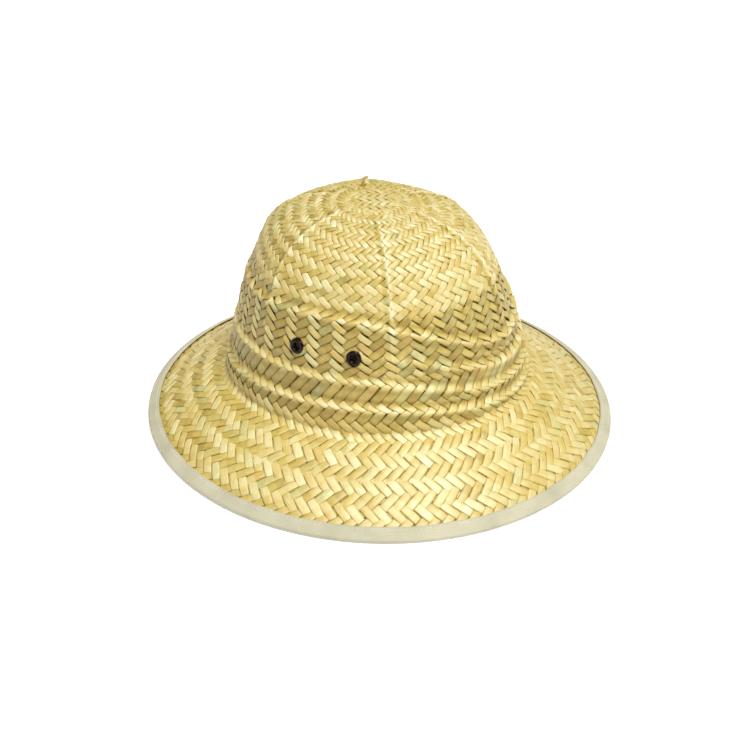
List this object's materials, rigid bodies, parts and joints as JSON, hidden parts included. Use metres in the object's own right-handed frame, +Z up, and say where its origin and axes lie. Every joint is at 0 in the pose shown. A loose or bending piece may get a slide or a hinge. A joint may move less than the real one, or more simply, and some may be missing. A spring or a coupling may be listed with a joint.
{
  "type": "pith helmet",
  "caption": "Plaited straw sun helmet: ribbed dome, pleated crown wall and drooping brim in one plait, with a cloth-bound rim and metal vent eyelets.",
  "frame": {"origin": "middle of the rim, on the surface that the hat rests on", "axes": "+Z up, the hat's front faces -Y, the wearer's right is -X"},
  "size_m": [0.2948, 0.3098, 0.1657],
  "materials": {
    "straw": "plaited palm straw, satin",
    "binding_cloth": "cream cotton tape, matt",
    "dark_metal": "dark brown lacquered metal, glossy",
    "straw_end": "dry straw, matt"
  },
  "bodies": {
    "root": {"woven_body": "straw", "brim_binding": "binding_cloth", "eyelet_right_front": "dark_metal", "eyelet_right_back": "dark_metal", "eyelet_left_front": "dark_metal", "eyelet_left_back": "dark_metal", "crown_loop": "straw_end"}
  },
  "joints": []
}
